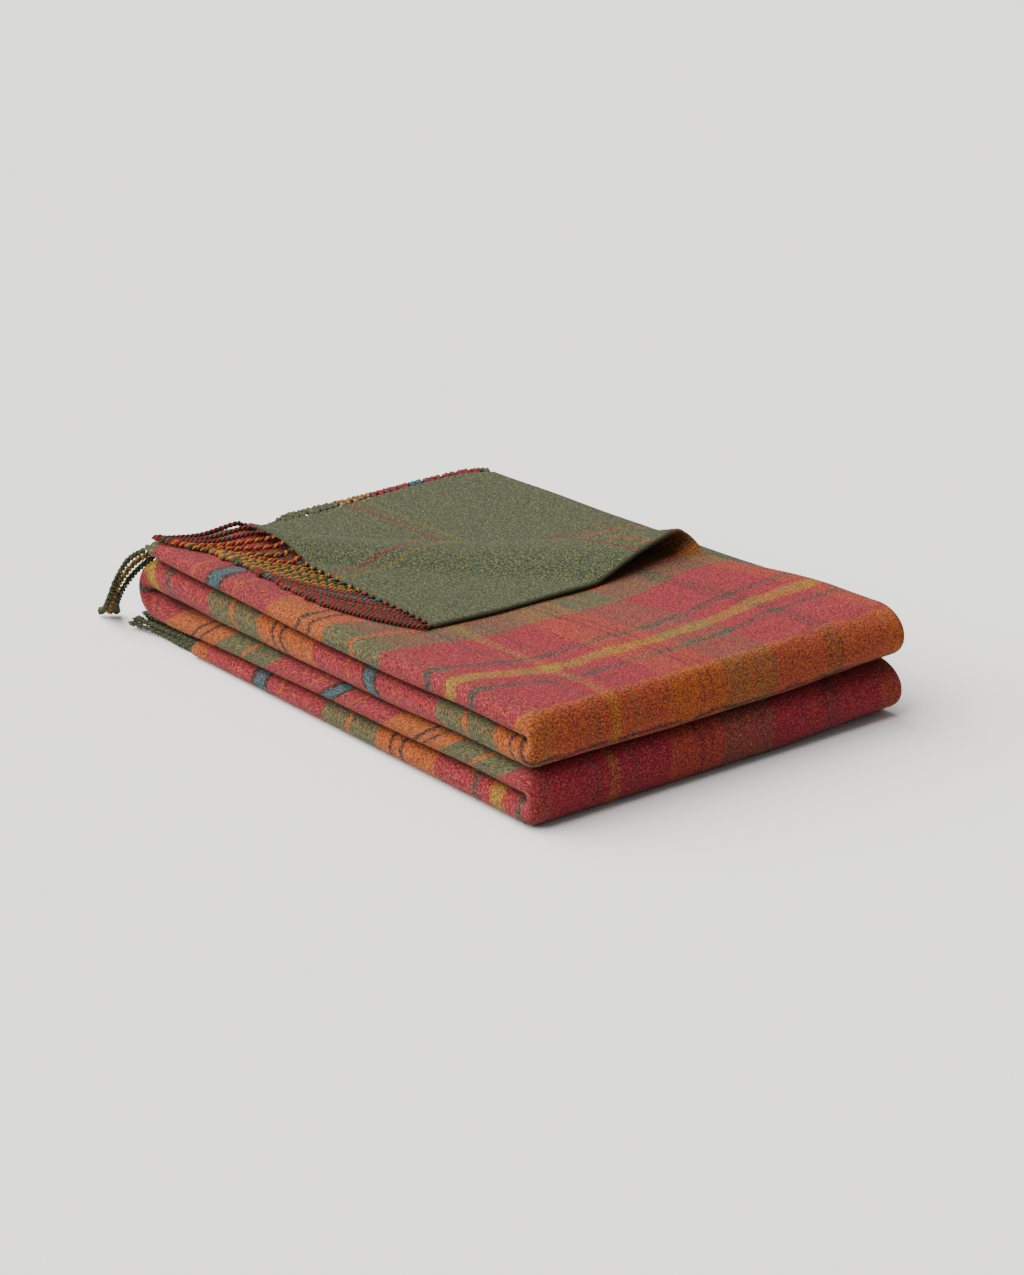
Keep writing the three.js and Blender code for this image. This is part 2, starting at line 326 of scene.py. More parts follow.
def wool_surface(n, vector, parts):
    """Nap, fine twill and the shader's own values."""
    nap = n.noise(n.scaled(vector, (1.0, 0.55, 1.0)), NAP_GRAIN, 3.0, 0.75)
    clumps = n.noise(vector, CLUMP_GRAIN, 2.0, 0.6)
    diagonal = n.math("ADD", parts[0], parts[1])
    twill = n.math("SINE", n.math("MULTIPLY", diagonal, 2.0 * math.pi / TWILL_PITCH))
    twill = n.math("MULTIPLY", twill, 0.10)
    height = n.math("ADD", n.math("MULTIPLY", nap, 0.8), n.math("MULTIPLY", clumps, 0.8))
    height = n.math("ADD", height, twill)
    n.put(n.shader.inputs["Normal"], n.bump(height, 0.55, 0.0009))
    n.shader.inputs["Roughness"].default_value = 0.92
    n.shader.inputs["Specular IOR Level"].default_value = 0.15
    n.shader.inputs["Sheen Weight"].default_value = 0.06
    n.shader.inputs["Sheen Roughness"].default_value = 0.45
    n.shader.inputs["Sheen Tint"].default_value = (1.0, 0.86, 0.72, 1.0)


def fuzzy(n, vector, value, spread):
    """Moves a stripe's edge about by the width of a few fibres."""
    jitter = n.math("SUBTRACT", n.noise(vector, JITTER_GRAIN, 2.0, 0.7), 0.5)
    wander = n.math("SUBTRACT", n.noise(vector, WANDER_GRAIN, 1.0, 0.5), 0.5)
    moved = n.math("ADD", value, n.math("MULTIPLY", jitter, spread))
    return n.math("ADD", moved, n.math("MULTIPLY", wander, spread))


# Distances from the selvedge between which the warp hides under the nap of the folded left side
SIDE_WARP = (315.0, 345.0)
# How much of the warp shows on the top, how much less on the side, and how wide a stripe's edge is
WARP_SHARE, SIDE_LOSS = 0.68, 0.50
STRIPE_EDGE = 0.010


def make_tartan():
    n = Nodes("tartan_face")
    vector = n.attribute("cloth")
    parts = n.split(vector)
    across = fuzzy(n, vector, parts[0], STRIPE_EDGE)
    length = fuzzy(n, vector, parts[1], STRIPE_EDGE)
    warp_unit = n.math("SUBTRACT", WARP_START, n.math("DIVIDE", across, WARP_UNIT / 1000.0))
    weft_unit = n.math("DIVIDE", length, WEFT_UNIT / 1000.0)
    weft = tartan_colour(n, weft_unit, TEAL)
    warp = tartan_colour(n, n.math("ADD", warp_unit, 8.0), DUSK)
    crossing = contrast(n, n.noise(n.scaled(vector, (1.0, 0.7, 1.0)), CROSSING_GRAIN, 1.0, 0.5), 0.44, 0.60)
    on_side = contrast(n, parts[0], SIDE_WARP[0] / 1000.0, SIDE_WARP[1] / 1000.0)
    on_side.node.clamp = True
    share = n.math("SUBTRACT", WARP_SHARE, n.math("MULTIPLY", on_side, SIDE_LOSS))
    colour = n.mix(n.math("ADD", n.math("MULTIPLY", crossing, share), 0.05), weft, warp)
    flecks = [
        (0.10, srgb(34, 28, 40)), (0.30, srgb(92, 24, 34)), (0.52, srgb(64, 56, 82)),
        (0.74, srgb(140, 58, 24)), (0.92, srgb(112, 80, 28)),
    ]
    n.put(n.shader.inputs["Base Color"], wool_flecks(n, vector, colour, flecks, 0.62))
    wool_surface(n, vector, parts)
    return n.material


# Windowpane lines of the reverse: distance from the end or the selvedge, and colour.
PANE_WARP = [(0.135, srgb(78, 64, 22)), (0.149, srgb(88, 10, 20))]
PANE_WEFT = [(0.185, srgb(84, 18, 20)), (0.201, srgb(116, 44, 10))]
PANE_REPEAT = {"warp": 2 * WARP_UNIT / 1000.0, "weft": 2 * WEFT_UNIT / 1000.0}
PANE_WIDTH, PANE_EDGE = 0.0027, 0.0035


def make_reverse():
    n = Nodes("green_reverse")
    vector = n.attribute("cloth")
    parts = n.split(vector)
    base = n.ramp(
        n.noise(n.scaled(vector, (0.7, 1.0, 1.0)), REVERSE_GRAIN, 3.0, 0.65),
        [(0.38, srgb(40, 50, 52)), (0.5, SAGE), (0.6, srgb(72, 72, 28))],
    )[0]
    for part, lines, repeat in (
        (parts[0], PANE_WARP, PANE_REPEAT["warp"]),
        (parts[1], PANE_WEFT, PANE_REPEAT["weft"]),
    ):
        at = fuzzy(n, vector, part, PANE_EDGE)
        place_in_repeat = n.math("MODULO", at, repeat)
        for centre, colour in lines:
            off = n.math("ABSOLUTE", n.math("SUBTRACT", place_in_repeat, centre))
            line = n.math("SUBTRACT", 1.0, n.math("DIVIDE", off, PANE_WIDTH), clamp=True)
            line = n.math("POWER", line, 0.6)
            base = n.mix(line, base, colour)
    flecks = [
        (0.10, srgb(18, 24, 24)), (0.32, srgb(42, 52, 40)), (0.50, srgb(82, 82, 36)),
        (0.68, srgb(60, 70, 88)), (0.90, srgb(96, 90, 36)),
    ]
    n.put(n.shader.inputs["Base Color"], wool_flecks(n, vector, base, flecks, 0.7))
    wool_surface(n, vector, parts)
    return n.material


def make_yarn(name, dark, light):
    n = Nodes(name)
    vector = n.attribute("cloth")
    tone = n.noise(vector, 900.0, 3.0, 0.7)
    n.put(n.shader.inputs["Base Color"], n.ramp(tone, [(0.35, dark), (0.62, light)])[0])
    n.put(n.shader.inputs["Normal"], n.bump(n.noise(vector, 1800.0, 2.0, 0.7), 0.6, 0.0005))
    n.shader.inputs["Roughness"].default_value = 0.9
    n.shader.inputs["Specular IOR Level"].default_value = 0.15
    n.shader.inputs["Sheen Weight"].default_value = 0.1
    n.shader.inputs["Sheen Roughness"].default_value = 0.45
    return n.material


CLOTH_SIDES = (make_tartan(), make_reverse())
YARNS = {
    "red": make_yarn("yarn_red", srgb(58, 6, 16), srgb(124, 12, 26)),
    "green": make_yarn("yarn_green", srgb(22, 28, 18), srgb(50, 56, 32)),
    "moss": make_yarn("yarn_moss", srgb(34, 40, 24), srgb(74, 76, 44)),
    "gold": make_yarn("yarn_gold", srgb(96, 52, 10), srgb(150, 92, 26)),
    "teal": make_yarn("yarn_teal", srgb(10, 46, 62), srgb(20, 84, 108)),
}
YARN_NAMES = list(YARNS)


# ---------------------------------------------------------------- the folded sheet's middle surface

def at_left(x):
    return 1.0 - smooth(10.0, 150.0, x)


def edge_lift(y, front, middle, back):
    """How much higher a face of a section lies at the left side than inside the stack."""
    knots = [0.0, 250.0, 400.0, 480.0]
    return np.interp(y, knots, [front, middle, middle + 0.55 * (back - middle), back])


def ripple(x, y):
    return (
        0.55 * np.sin(x / 31.0 + y / 57.0 + 0.6)
        + 0.40 * np.sin(x / 17.0 - y / 43.0 + 2.1)
        + 0.35 * np.sin(y / 23.0 + x / 71.0 + 4.0)
    )


# Lift of each face at the left side: at the front, in the middle and at the back of the stack
EDGE_LIFTS = [(0.0, 0.0, 0.0), (1.8, -1.0, -7.0), (1.0, -0.5, -5.0), (1.0, 2.0, 10.0), (0.0, 0.5, 8.0)]


def faces(level, x, y):
    """Heights of a section's lower and upper face."""
    side = at_left(x)
    fade = {2: 1.0 - smooth(450.0, 474.0, y)}
    fade[1] = fade[3] = 0.45 + 0.55 * smooth(10.0, 60.0, y)
    low = level * pitch(y) + side * edge_lift(y, *EDGE_LIFTS[level]) * fade.get(level, 1.0)
    above = level + 1
    high = above * pitch(y) + side * edge_lift(y, *EDGE_LIFTS[above]) * fade.get(above, 1.0)
    if level == 2:
        low = low + side * 4.0 * smooth(380.0, 440.0, y) * fade[2]
    wave = ripple(x, y) * smooth(30.0, 90.0, y) * (1.0 - smooth(430.0, 476.0, y))
    low = low + wave * min(level, 2) * 0.45
    high = high + wave * min(above, 2) * 0.45
    return low + 0.1, high - 0.5


def layer_height(level, g, x, y):
    low, high = faces(level, x, y)
    upright = level in (1, 3)
    return low + g * (high - low) if upright else high - g * (high - low)


# Where the width folds turn: x, and how far each bulges. The outer left turn has this many steps.
LEFT_X, LEFT_BULGE, LEFT_STEPS = 11.0, -8.8, 16
INNER_LEFT_X, RIGHT_X, INNER_BULGE, INNER_STEPS = 9.6, 335.0, 2.7, 8


def across_path():
    """x, g and distance from the selvedge of each column, from the top layer's selvedge to the last."""
    span = 20.0
    points = []

    def run(x0, x1, g, step):
        count = max(2, int(round(abs(x1 - x0) / step)))
        points.extend((x0 + (x1 - x0) * i / count, g) for i in range(count + 1))

    def turn(centre, reach, g0, g1, count):
        middle, half = (g0 + g1) / 2.0, (g0 - g1) / 2.0
        for i in range(1, count):
            angle = math.pi * i / count
            points.append((centre + reach * math.sin(angle), middle + half * math.cos(angle)))

    run(SELVEDGE_X, LEFT_X, LAYER_A, 3.6)
    turn(LEFT_X, LEFT_BULGE, LAYER_A, LAYER_B, LEFT_STEPS)
    run(LEFT_X, RIGHT_X, LAYER_B, 9.0)
    turn(RIGHT_X, INNER_BULGE, LAYER_B, LAYER_C, INNER_STEPS)
    run(RIGHT_X, INNER_LEFT_X, LAYER_C, 11.0)
    turn(INNER_LEFT_X, -INNER_BULGE, LAYER_C, LAYER_D, INNER_STEPS)
    run(INNER_LEFT_X, SELVEDGE_X - 1.0, LAYER_D, 7.0)
    points = np.array(points)
    steps = np.diff(points * [1.0, span], axis=0)
    w = np.concatenate([[0.0], np.cumsum(np.hypot(*steps.T))])
    return points[:, 0], points[:, 1], w * WIDTH / w[-1]


COL_X, COL_G, COL_W = across_path()
COLUMNS = len(COL_X)
FIRST_BEND = int(np.argmax(COL_X <= LEFT_X))


def top_end(x, g):
    """y of the cloth's top end in each column. The turned corner has drawn the top layer forward."""
    upper = CORNER_Y + (474.0 - CORNER_Y) * (1.0 - smooth(0.0, 66.0, x))
    upper = upper - 9.0 * smooth(20.0, 60.0, x) * (1.0 - smooth(80.0, 220.0, x))
    inner = 484.0 + 15.0 * smooth(120.0, 300.0, x) - 15.0 * smooth(312.0, 347.0, x) ** 2
    under = np.full_like(x, 480.0)
    share = smooth(0.55, LAYER_A - 0.02, g)
    lower = np.where(g > 0.5, inner, under)
    on_outer = (g > LAYER_D + 0.05) | (g < LAYER_C - 0.05)
    return np.where(on_outer, upper * share + under * (1.0 - share), lower)


def drawn_in(x, y):
    """The top layer's selvedge is pulled to the left towards the turned-back corner."""
    return x - (SELVEDGE_X - CORNER_X) * smooth(70.0, 200.0, y) * smooth(60.0, 230.0, x)


def roll_reach(x, lower):
    blunt = 13.0 if lower else 11.0
    return blunt + 15.0 * smooth(215.0, 345.0, x) + 0.6 * np.sin(x / 27.0 + lower)


def roll_rows(upper, lower, front, count):
    """y and z of the rows round a fold, from the upper section's seam to the lower one's."""
    rows = []
    x, g = COL_X, COL_G
    seam = ROLL_SEAM if front else BACK_SEAM
    reach = roll_reach(x, upper == 1) if front else np.full_like(x, 17.0)
    edge = reach + CLOTH / 2.0 if front else BACK_FOLD_Y - reach - CLOTH / 2.0
    high = layer_height(upper, g, x, edge)
    low = layer_height(lower, g, x, edge)
    middle, half = (high + low) / 2.0, (high - low) / 2.0
    deep = reach * (0.35 + 0.65 * np.clip(half / 19.5, 0.0, 1.0))
    sign = -1.0 if front else 1.0
    for side, level in ((1, upper), (-1, lower)):
        flat = []
        for i in range(5):
            y = seam + (edge - seam) * i / 5.0
            flat.append((y, layer_height(level, g, x, y)))
        if side == 1:
            rows.extend(flat)
            for i in range(count + 1):
                angle = math.pi / 2.0 - math.pi * i / count
                y = edge + sign * deep * math.cos(angle)
                rows.append((y, middle + half * math.sin(angle)))
        else:
            rows.extend(reversed(flat))
    return rows


def section_rows(level, start, end, count):
    rows = []
    for i in range(count + 1):
        y = start + (end - start) * i / count + np.zeros(COLUMNS)
        rows.append((y, layer_height(level, COL_G, COL_X, y)))
    return rows


def build_rows():
    """All rows of the cloth from its top end to its bottom end, and the first row of each piece."""
    ends = top_end(COL_X, COL_G)
    pieces = [
        ("top_section_cloth", section_rows(3, ends, ROLL_SEAM, 104)),
        ("upper_front_roll", roll_rows(3, 2, True, 23)),
        ("upper_middle_cloth", section_rows(2, ROLL_SEAM, BACK_SEAM, 44)),
        ("back_roll", roll_rows(2, 1, False, 17)),
        ("lower_middle_cloth", section_rows(1, BACK_SEAM, ROLL_SEAM, 44)),
        ("lower_front_roll", roll_rows(1, 0, True, 23)),
        ("bottom_section_cloth", section_rows(0, ROLL_SEAM, BOTTOM_END_Y, 52)),
    ]
    rows, spans = [], {}
    for name, part in pieces:
        first = max(0, len(rows) - 1)
        rows.extend(part if not rows else part[1:])
        spans[name] = (first, len(rows) - 1)
    y = np.array([r[0] for r in rows])
    z = np.array([r[1] for r in rows])
    return y, z, spans


def top_layer_shift(x, s):
    """The weft lines of the top layer bow towards the front, and run back at the left side."""
    knots = [0.0, 24.0, 45.0, 66.0, 90.0, 128.0, 170.0, 218.0, 277.0, 345.0]
    bow = np.interp(x, knots, [12.0, 7.0, -3.0, -10.0, -13.0, -11.0, -12.0, -9.0, 5.0, 6.0])
    return bow * smooth(8.0, 62.0, s) * (1.0 - 0.6 * smooth(180.0, 330.0, s))


def turn_corner(x, y):
    """Where a point of the flat top layer goes when the far right corner is turned back."""
    point = np.stack([x, y], -1) - CREASE_POINT
    s = point @ ALONG
    m = point @ ACROSS - CREASE_SHIFT
    t = np.clip(s / CREASE_SPAN, -0.1, 1.1)
    r = CURL_START * (1 - t) * (1 - 2 * t) + 4 * CURL_MIDDLE * t * (1 - t) + CURL_END * t * (2 * t - 1)
    r = np.maximum(r, CURL_MIDDLE)
    angle = np.clip(m / r, 0.0, math.pi)
    back = np.maximum(m - math.pi * r, 0.0)
    share = np.clip(back / (FLAP_LENGTH * (1.0 + FLAP_LENGTHENING * t)), 0.0, 1.0)
    fall = 1.0 - (1.0 - share) ** FLAP_POWER
    n = np.where(m <= 0.0, m, np.where(back > 0.0, -back, r * np.sin(angle)))
    h = r * (1.0 - np.cos(angle))
    rest = 2.0 * r + (FLAP_REST - 2.0 * r) * fall + FLAP_BULGE * np.sin(math.pi * share)
    h = np.where(back > 0.0, np.maximum(rest, FLAP_REST), h)
    s = s + FLAP_SHEAR * back + FLAP_SHEAR_2 * (back / 100.0) ** 2
    across = (CREASE_SHIFT + n)[..., None] * ACROSS
    where = CREASE_POINT + across + s[..., None] * ALONG
    base = layer_height(3, LAYER_A, where[..., 0], where[..., 1])
    return np.concatenate([where, (base + h)[..., None]], -1), m, m - math.pi * r


def weft_place(run, y, spans):
    """Place in the tartan of a length of cloth measured from the first front fold."""
    column = int(np.argmin(COL_X))
    level_rows = ["bottom_section_cloth", "lower_middle_cloth", "upper_middle_cloth", "top_section_cloth"]
    known = []
    for level, at in WEFT_PLACES:
        first, last = spans[level_rows[level]]
        part = slice(first, last + 1)
        order = np.argsort(y[part, column])
        known.append(float(np.interp(at, y[part, column][order], run[part, column][order])))
    known = np.array(known)
    values = np.arange(len(known)) * WEFT_UNIT
    place_in = np.interp(run, known, values)
    before = run < known[0]
    after = run > known[-1]
    place_in[before] = values[0] + (run - known[0])[before]
    place_in[after] = values[-1] + (run - known[-1])[after]
    return place_in


def build_cloth():
    y, z, spans = build_rows()
    x = np.broadcast_to(COL_X, y.shape).copy()
    top_rows = slice(0, spans["top_section_cloth"][1] + 1)
    layer_a = np.arange(COLUMNS) <= FIRST_BEND
    x[top_rows] = np.where(layer_a, drawn_in(x[top_rows], y[top_rows]), x[top_rows])
    flat = np.stack([x, y, z], -1)
    steps = np.linalg.norm(np.diff(flat, axis=0), axis=2)
    length = np.vstack([np.zeros(COLUMNS), np.cumsum(steps, 0)])
    first, last = spans["upper_front_roll"]
    front_row = (first + last) // 2
    s = length[front_row] - length
    face_p = weft_place(-s, y, spans)
    shift = top_layer_shift(x, s)
    face_p = face_p + np.where(s > 0.0, shift, 0.0) * smooth(0.5, 0.8, COL_G)
    face_p = face_p + LOWER_SKEW * smooth(60.0, 345.0, COL_X) * smooth(800.0, 1000.0, face_p)
    reverse_p = length
    turned, m, past = turn_corner(x[top_rows], y[top_rows])
    moved = layer_a & (m > 0.0)
    points = flat.copy()
    points[top_rows] = np.where(moved[..., None], turned, flat[top_rows])
    names = ["corner_cloth", "crease_cloth"] + list(spans)
    labels = np.zeros((len(y) - 1, COLUMNS - 1), int)
    for number, (first, last) in enumerate(spans.values(), 2):
        labels[first:last] = number
    cells_a = np.arange(COLUMNS - 1) < FIRST_BEND
    for number, after in ((1, m + CREASE_MARGIN), (0, past - CREASE_MARGIN)):
        middle = (after[:-1, :-1] + after[1:, 1:]) / 2.0
        labels[: len(middle)][(middle > 0.0) & cells_a] = number
    return points, face_p, reverse_p, labels, names


def grid_normals(points):
    down = np.gradient(points, axis=0)
    side = np.gradient(points, axis=1)
    normals = np.cross(side, down)
    return normals / np.maximum(np.linalg.norm(normals, axis=2), 1e-9)[..., None]


def face_outwards(mesh):
    """Turns every face of a closed mesh to the outside."""
    shape = bmesh.new()
    shape.from_mesh(mesh)
    bmesh.ops.recalc_face_normals(shape, faces=shape.faces)
    shape.to_mesh(mesh)
    shape.free()
    mesh.update()


def new_piece(name, verts, faces, materials, paint, cloth_at, rounded=True, sharp=()):
    """A closed mesh. cloth_at is each point's place on the flat cloth, in metres."""
    mesh = bpy.data.meshes.new(name)
    mesh.from_pydata(place(verts).tolist(), [], faces)
    if rounded:
        mesh.polygons.foreach_set("use_smooth", [True] * len(faces))
    for material in materials:
        mesh.materials.append(material)
    mesh.polygons.foreach_set("material_index", paint)
    attribute = mesh.attributes.new("cloth", "FLOAT_VECTOR", "POINT")
    attribute.data.foreach_set("vector", np.asarray(cloth_at, np.float32).ravel())
    if sharp:
        marks = mesh.attributes.new("sharp_edge", "BOOLEAN", "EDGE")
        marks.data.foreach_set("value", [tuple(sorted(edge.vertices)) in sharp for edge in mesh.edges])
    face_outwards(mesh)
    piece = bpy.data.objects.new(name, mesh)
    bpy.context.scene.collection.objects.link(piece)
    return piece


# The four sides of a cell: the corners where each starts and stops, and the step to the next cell
CELL_SIDES = (
    ((0, 0), (0, 1), (-1, 0)), ((1, 1), (1, 0), (1, 0)), ((1, 0), (0, 0), (0, -1)), ((0, 1), (1, 1), (0, 1)),
)


def sheet_piece(name, cells, points, normals, face_p, reverse_p):
    """The chosen cells as cloth: a tartan side, a green side, rounded outer edges and plain seams."""
    rows, cols = points.shape[:2]
    used = np.zeros((rows, cols), bool)
    for dr in (0, 1):
        for dc in (0, 1):
            used[dr : rows - 1 + dr, dc : cols - 1 + dc] |= cells
    index = -np.ones((rows, cols), int)
    index[used] = np.arange(used.sum())
    count = int(used.sum())
    half = CLOTH / 2.0
    where = points[used]
    normal = normals[used]
    verts = [where + normal * half, where - normal * half]
    wide = np.broadcast_to(COL_W, (rows, cols))[used] / 1000.0
    pane_w = np.minimum(wide, WIDTH / 1000.0 - wide)
    cloth = [
        np.stack([wide, face_p[used] / 1000.0, 0.0 * wide], -1),
        np.stack([pane_w, reverse_p[used] / 1000.0, 0.0 * wide + 3.0], -1),
    ]
    r, c = np.nonzero(cells)
    a, b, d, e = index[r, c], index[r, c + 1], index[r + 1, c + 1], index[r + 1, c]
    quads = [np.stack([a, e, d, b], 1), np.stack([a, b, d, e], 1) + count]
    paint = [np.zeros(len(a), int), np.ones(len(a), int)]
    rims, extra, extra_cloth, sharp = [], [], [], set()
    rim_index = {}

    def rim(node, outward):
        if node not in rim_index:
            rim_index[node] = 2 * count + len(extra)
            extra.append(points[node] + outward * half * 0.75)
            extra_cloth.append([COL_W[node[1]] / 1000.0, face_p[node] / 1000.0, 0.0])
        return rim_index[node]

    padded = np.pad(cells, 1)
    on_sheet = np.pad(np.ones(cells.shape, bool), 1)
    for row, col in zip(r.tolist(), c.tolist()):
        for start, stop, step in CELL_SIDES:
            near = (row + 1 + step[0], col + 1 + step[1])
            if padded[near]:
                continue
            n0 = (row + start[0], col + start[1])
            n1 = (row + stop[0], col + stop[1])
            i0, i1 = int(index[n0]), int(index[n1])
            if on_sheet[near]:
                rims.append((i1, i0, i0 + count, i1 + count))
                sharp.add((min(i0, i1), max(i0, i1)))
                sharp.add((min(i0, i1) + count, max(i0, i1) + count))
                continue
            outs = []
            for node in (n0, n1):
                behind = tuple(np.clip(np.subtract(node, step), 0, (rows - 1, cols - 1)))
                out = points[node] - points[behind]
                outs.append(out / max(np.linalg.norm(out), 1e-9))
            m0, m1 = rim(n0, outs[0]), rim(n1, outs[1])
            rims.append((i1, i0, m0, m1))
            rims.append((m1, m0, i0 + count, i1 + count))
    faces_all = np.concatenate(quads + ([np.array(rims)] if rims else []))
    paint.append(np.full(len(rims), int(name == "corner_cloth")))
    coords = np.concatenate(verts + ([np.array(extra)] if extra else []))
    cloth_all = np.concatenate(cloth + ([np.array(extra_cloth)] if extra_cloth else []))
    paint = np.concatenate(paint).tolist()
    return new_piece(name, coords, faces_all.tolist(), CLOTH_SIDES, paint, cloth_all, sharp=sharp)


points, face_p, reverse_p, labels, names = build_cloth()
normals = grid_normals(points)
# A row and column in the flat of the top layer, where the tartan faces upwards
FLAT_ROW, FLAT_COLUMN = 40, 60
if normals[FLAT_ROW, FLAT_COLUMN][2] < 0:
    normals = -normals
cloth = {
    name: sheet_piece(name, labels == number, points, normals, face_p, reverse_p)
    for number, name in enumerate(names)
}


# ---------------------------------------------------------------- brushed nap

# A fibre's radius, the lowest that it may lie, and the fibres in each square millimetre
NAP_RADIUS, NAP_LOWEST = 0.15, 0.1
TOP_NAP, GREEN_NAP, SIDE_NAP = 0.04, 0.06, 0.10
# The inner layer's columns nearest its selvedge, and how far forward its nap starts
INNER_COLUMNS, INNER_NAP_Y = 46, 240.0


def nap_piece(name, patches):
    """Short loose fibres on patches of the cloth: cells, side (1 tartan, -1 green) and fibres in a mm2."""
    rng = np.random.default_rng(SEED + 10 + names.index(name))
    verts, cloth_at, paint = [], [], []
    for cells, side, density in patches:
        r, c = np.nonzero(cells & (labels == names.index(name)))
        a, b, d, e = points[r, c], points[r, c + 1], points[r + 1, c + 1], points[r + 1, c]
        halves = np.cross(b - a, d - a), np.cross(d - a, e - a)
        area = sum(np.linalg.norm(half, axis=1) for half in halves) / 2.0
        pick = np.repeat(np.arange(len(r)), rng.poisson(area * density))
        u, v = rng.random((2, len(pick), 1))
        root = (a[pick] * (1 - u) + b[pick] * u) * (1 - v) + (e[pick] * (1 - u) + d[pick] * u) * v
        out = normals[r, c][pick] * side
        along = e[pick] - a[pick]
        along /= np.linalg.norm(along, axis=1)[:, None]
        across = np.cross(out, along)
        lean = out * rng.uniform(0.35, 1.0, (len(pick), 1))
        sideways = along * rng.uniform(-0.9, 0.9, (len(pick), 1))
        lean += sideways + across * rng.uniform(-0.9, 0.9, (len(pick), 1))
        lean /= np.linalg.norm(lean, axis=1)[:, None]
        base = root + out * CLOTH * 0.46
        ring = [base + NAP_RADIUS * (math.cos(t) * along + math.sin(t) * across) for t in (0.0, 2.1, 4.2)]
        tip = base + lean * rng.uniform(1.2, 2.9, (len(pick), 1))
        fibres = np.stack(ring + [tip], 1).reshape(-1, 3)
        fibres[:, 2] = np.maximum(fibres[:, 2], NAP_LOWEST)
        verts.append(fibres)
        wide = (COL_W[c][pick] * (1 - u[:, 0]) + COL_W[c + 1][pick] * u[:, 0]) / 1000.0
        face = face_p if side > 0 else reverse_p
        long = (face[r, c][pick] * (1 - v[:, 0]) + face[r + 1, c][pick] * v[:, 0]) / 1000.0
        if side < 0:
            wide = np.minimum(wide, WIDTH / 1000.0 - wide)
        at = np.stack([wide, long, np.full(len(wide), 0.0 if side > 0 else 3.0)], 1)
        cloth_at.append(np.repeat(at, 4, axis=0))
        paint.append(np.full(4 * len(pick), 0 if side > 0 else 1))
    verts = np.concatenate(verts)
    first = np.arange(0, len(verts), 4)[:, None, None]
    faces_all = (first + np.array([[2, 1, 0], [0, 1, 3], [1, 2, 3], [2, 0, 3]])).reshape(-1, 3)
    paint, cloth_at = np.concatenate(paint).tolist(), np.concatenate(cloth_at)
    return new_piece("nap_" + name, verts, faces_all.tolist(), CLOTH_SIDES, paint, cloth_at, rounded=False)


column = np.broadcast_to(np.arange(COLUMNS - 1), labels.shape)
anywhere = column >= 0
on_turn = (column >= FIRST_BEND) & (column < FIRST_BEND + LEFT_STEPS)
on_top = column < FIRST_BEND
on_inner = (column > COLUMNS - INNER_COLUMNS) & (points[:-1, :-1, 1] > INNER_NAP_Y)
nap_patches = {name: [(on_turn, 1, SIDE_NAP)] for name in names}
nap_patches["corner_cloth"] = nap_patches["crease_cloth"] = [(anywhere, -1, GREEN_NAP)]
nap_patches["top_section_cloth"] = [(on_top, 1, TOP_NAP), (on_turn, 1, SIDE_NAP), (on_inner, -1, GREEN_NAP)]
nap_patches["upper_front_roll"] = nap_patches["lower_front_roll"] = [(on_top | on_turn, 1, SIDE_NAP)]
nap = {name: nap_piece(name, patches) for name, patches in nap_patches.items()}


# ---------------------------------------------------------------- twisted fringe

def smooth_path(knots, count):
    """A Catmull-Rom line through the knots, evenly spaced."""
    knots = np.asarray(knots, float)
    padded = np.vstack([2 * knots[0] - knots[1], knots, 2 * knots[-1] - knots[-2]])
    line = []
    for i in range(1, len(padded) - 2):
        p0, p1, p2, p3 = padded[i - 1 : i + 3]
        for t in np.linspace(0.0, 1.0, 12, endpoint=False):
            square = (2 * p0 - 5 * p1 + 4 * p2 - p3) * t**2
            cube = (3 * p1 - p0 - 3 * p2 + p3) * t**3
            line.append(0.5 * (2 * p1 + (p2 - p0) * t + square + cube))
    line.append(knots[-1])
    line = np.array(line)
    run = np.concatenate([[0.0], np.cumsum(np.linalg.norm(np.diff(line, axis=0), axis=1))])
    at = np.linspace(0.0, run[-1], count)
    return np.stack([np.interp(at, run, line[:, k]) for k in range(3)], 1), run[-1]


